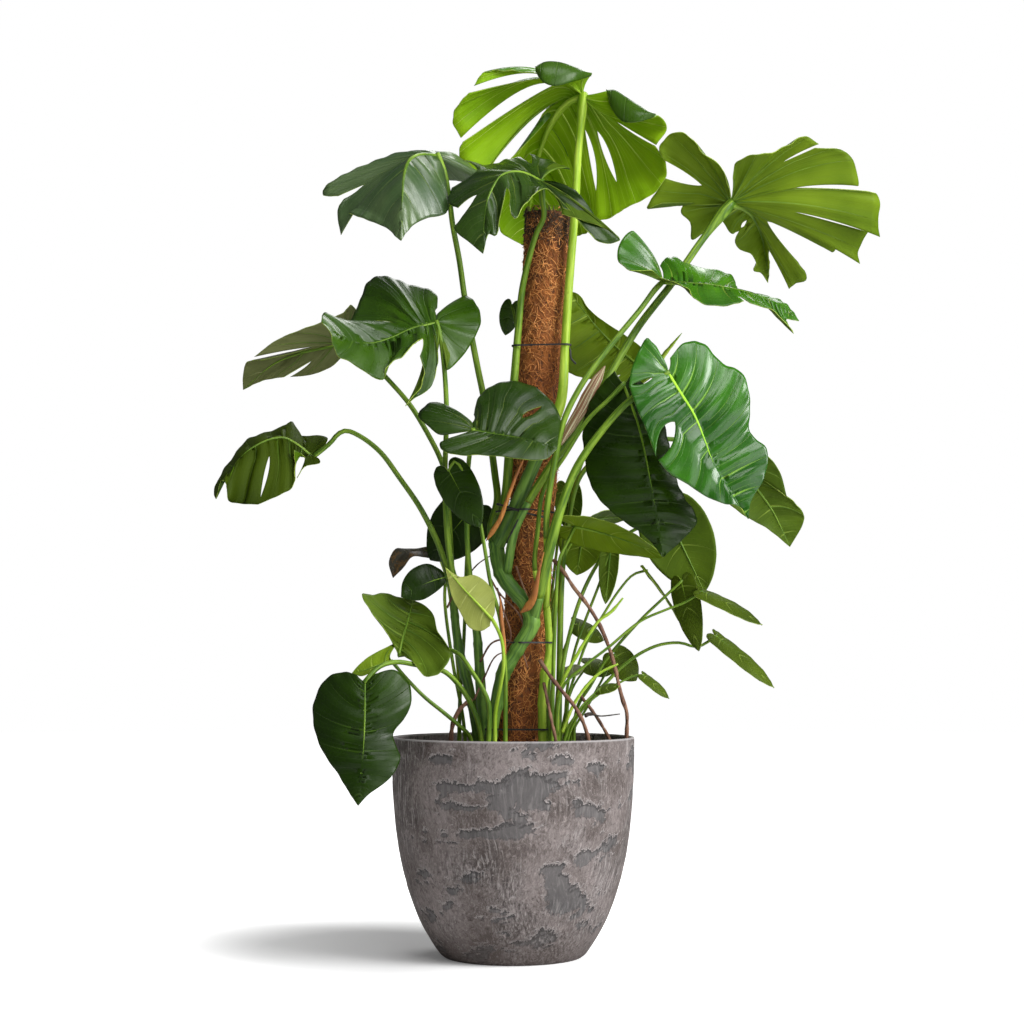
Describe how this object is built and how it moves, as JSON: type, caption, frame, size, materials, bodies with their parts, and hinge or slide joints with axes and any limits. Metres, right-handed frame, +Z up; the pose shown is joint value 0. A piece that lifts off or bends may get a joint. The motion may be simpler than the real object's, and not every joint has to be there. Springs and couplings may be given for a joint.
{
  "type": "potted swiss cheese plant",
  "caption": "Climbing plant with split and holed leaves, tied to a coir moss pole that stands in soil in a round stone-effect planter.",
  "frame": {"origin": "centre of the pot's flat underside", "axes": "+X to the plant's right as the picture shows it, +Y away from the viewer, +Z up"},
  "size_m": [1.0325, 0.401, 1.369],
  "materials": {
    "pot": "matte",
    "soil": "matte",
    "coir": "matte",
    "core": "matte",
    "tie": "satin",
    "vine": "satin",
    "leaf": "gloss",
    "root": "matte"
  },
  "bodies": {
    "root": {"pot": "pot", "pole_coir": "coir", "pole_core": "core", "vine_front": "vine", "vine_left_dark": "vine", "vine_left_mid": "vine", "vine_right": "vine", "leaf_top": "leaf", "leaf_upper_right": "leaf", "leaf_upper_left": "leaf", "leaf_over_pole": "leaf", "leaf_right_twisted": "leaf", "leaf_mid_left_front": "leaf", "leaf_mid_left_back": "leaf", "leaf_left_curled": "leaf", "leaf_centre": "leaf", "leaf_behind_pole": "leaf", "leaf_right_dark": "leaf", "leaf_right_bright": "leaf", "leaf_right_back": "leaf", "leaf_right_heart": "leaf", "leaf_shoot_grey": "leaf", "leaf_shoot_hanging": "leaf", "leaf_shoot_back": "leaf", "leaf_shoot_round": "leaf", "leaf_shoot_slim": "leaf", "leaf_left_dark_flap": "leaf", "leaf_left_broad": "leaf", "leaf_left_withered": "leaf", "leaf_left_oval": "leaf", "leaf_left_pale": "leaf", "leaf_left_olive": "leaf", "leaf_lowest": "leaf", "leaf_left_low": "leaf", "leaf_basal_edge": "leaf", "leaf_basal_yellow": "leaf", "leaf_basal_right": "leaf", "leaf_basal_far": "leaf", "leaf_basal_small": "leaf", "leaf_basal_mid": "leaf", "leaf_basal_back": "leaf", "leaf_basal_left": "leaf", "leaf_basal_behind": "leaf", "leaf_basal_low": "leaf", "leaf_behind_small": "leaf", "root_right_long": "root", "root_right_front": "root", "root_centre": "root", "root_right_low": "root", "root_left": "root", "tie_top": "tie", "tie_middle": "tie", "tie_lower": "tie", "tie_bottom": "tie", "soil": "soil"}
  },
  "joints": []
}
